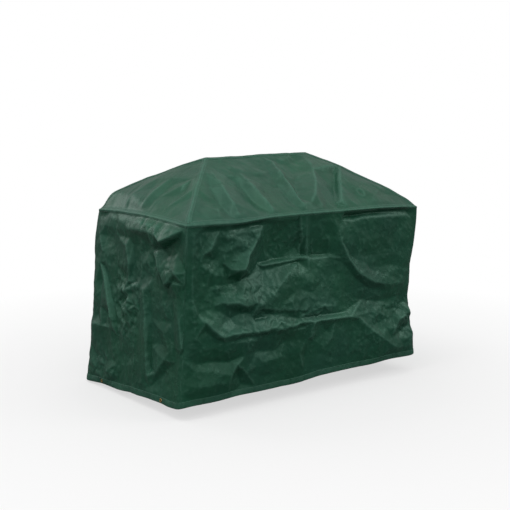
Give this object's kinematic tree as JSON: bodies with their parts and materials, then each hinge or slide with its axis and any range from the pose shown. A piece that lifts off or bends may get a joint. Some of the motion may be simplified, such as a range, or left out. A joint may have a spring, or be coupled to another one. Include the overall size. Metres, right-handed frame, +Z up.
{
  "type": "barbecue cover",
  "caption": "Loose rectangular woven-polyethylene cover with a hipped top, straight hanging skirts, folded hems and brass eyelets in the end hems, for a trolley grill.",
  "frame": {"origin": "centre of the rectangle the lower hem edge lies in, on the ground plane of the hem", "axes": "+Z up, the long front skirt faces -Y, +X towards the right end"},
  "size_m": [1.2738, 0.762, 0.927],
  "materials": {
    "sheet": "dark green woven polyethylene, satin to glossy",
    "seam": "the same sheet folded double, a little lighter",
    "thread": "matt dark green sewing thread",
    "brass": "slightly tarnished brass"
  },
  "bodies": {
    "top": {"roof_front_panel": "sheet", "roof_back_panel": "sheet", "roof_left_panel": "sheet", "roof_right_panel": "sheet", "ridge_seam": "seam", "hip_seam_front_left": "seam", "hip_seam_front_right": "seam", "hip_seam_back_left": "seam", "hip_seam_back_right": "seam", "eave_seam_front": "seam", "eave_seam_back": "seam", "eave_seam_left": "seam", "eave_seam_right": "seam", "skirt_corner_front_left": "sheet", "skirt_corner_front_right": "sheet", "skirt_corner_back_left": "sheet", "skirt_corner_back_right": "sheet", "hem_corner_front_left": "seam", "hem_corner_front_right": "seam", "hem_corner_back_left": "seam", "hem_corner_back_right": "seam", "top_stitching": "thread"},
    "front_skirt": {"front_skirt_panel": "sheet", "front_hem": "seam", "front_hem_stitching": "thread"},
    "back_skirt": {"back_skirt_panel": "sheet", "back_hem": "seam", "back_hem_stitching": "thread"},
    "left_skirt": {"left_skirt_panel": "sheet", "left_hem": "seam", "left_hem_stitching": "thread", "left_front_eyelet": "brass", "left_front_eyelet_washer": "brass", "left_back_eyelet": "brass", "left_back_eyelet_washer": "brass"},
    "right_skirt": {"right_skirt_panel": "sheet", "right_hem": "seam", "right_hem_stitching": "thread", "right_front_eyelet": "brass", "right_front_eyelet_washer": "brass", "right_back_eyelet": "brass", "right_back_eyelet_washer": "brass"}
  },
  "joints": [
    {"name": "front_skirt_swing", "type": "hinge", "parent": "top", "child": "front_skirt", "pos_m": [0, -0.35377, 0.69995], "axis": [-1, 0, 0], "range_deg": [-8, 18]},
    {"name": "back_skirt_swing", "type": "hinge", "parent": "top", "child": "back_skirt", "pos_m": [0, 0.35377, 0.69995], "axis": [1, 0, 0], "range_deg": [-8, 18]},
    {"name": "left_skirt_swing", "type": "hinge", "parent": "top", "child": "left_skirt", "pos_m": [-0.60877, 0, 0.69995], "axis": [0, 1, 0], "range_deg": [0, 12]},
    {"name": "right_skirt_swing", "type": "hinge", "parent": "top", "child": "right_skirt", "pos_m": [0.60877, 0, 0.69995], "axis": [0, -1, 0], "range_deg": [0, 12]}
  ]
}
